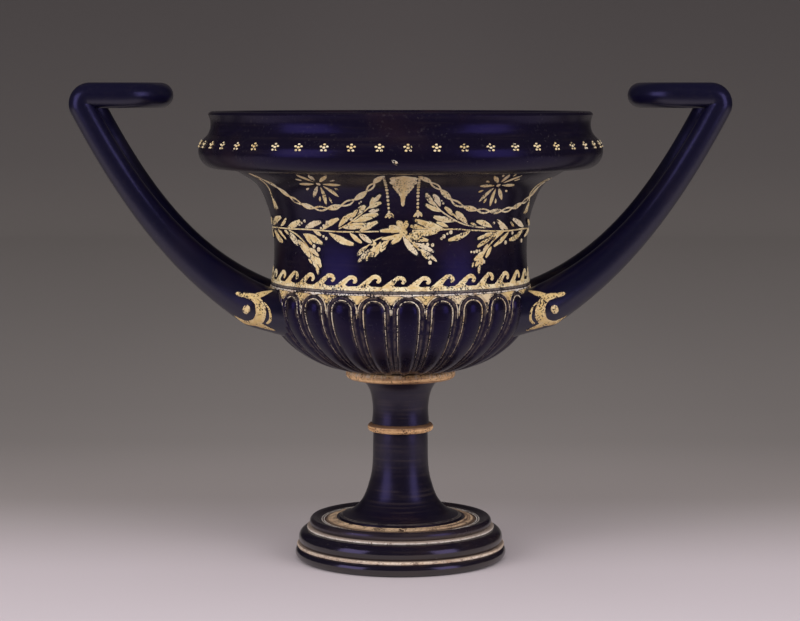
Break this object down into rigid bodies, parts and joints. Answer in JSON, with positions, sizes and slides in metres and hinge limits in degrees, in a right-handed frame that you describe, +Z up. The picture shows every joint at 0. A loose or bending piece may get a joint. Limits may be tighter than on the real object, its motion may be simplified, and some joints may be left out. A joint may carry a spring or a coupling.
{
  "type": "kantharos cup",
  "caption": "Stemmed pottery drinking cup with a ribbed bowl, concave neck, wide rolled lip and two tall looped rod handles on a moulded disc foot.",
  "frame": {"origin": "middle of the foot's underside, on the surface that the cup stands on", "axes": "+Z up, +X through the right handle, -Y towards the front of the cup"},
  "size_m": [0.3034, 0.1888, 0.2235],
  "materials": {
    "black_gloss": "glossy blue-black fired slip",
    "reserved_clay": "bare orange clay, slightly rough",
    "pale_slip": "worn cream and ochre slip"
  },
  "bodies": {
    "root": {"foot_base": "black_gloss", "foot_disc": "black_gloss", "stem_lower": "black_gloss", "stem_upper": "black_gloss", "ribbed_bowl": "black_gloss", "neck_wall": "black_gloss", "lip_ring": "black_gloss", "left_front_arm": "black_gloss", "left_rear_arm": "black_gloss", "right_front_arm": "black_gloss", "right_rear_arm": "black_gloss", "left_crown_loop": "black_gloss", "right_crown_loop": "black_gloss", "root_pads": "black_gloss", "bowl_collar": "reserved_clay", "stem_bead": "reserved_clay", "foot_line_lower": "pale_slip", "foot_line_upper": "pale_slip", "foot_top_band": "pale_slip", "root_pellets": "pale_slip"}
  },
  "joints": []
}
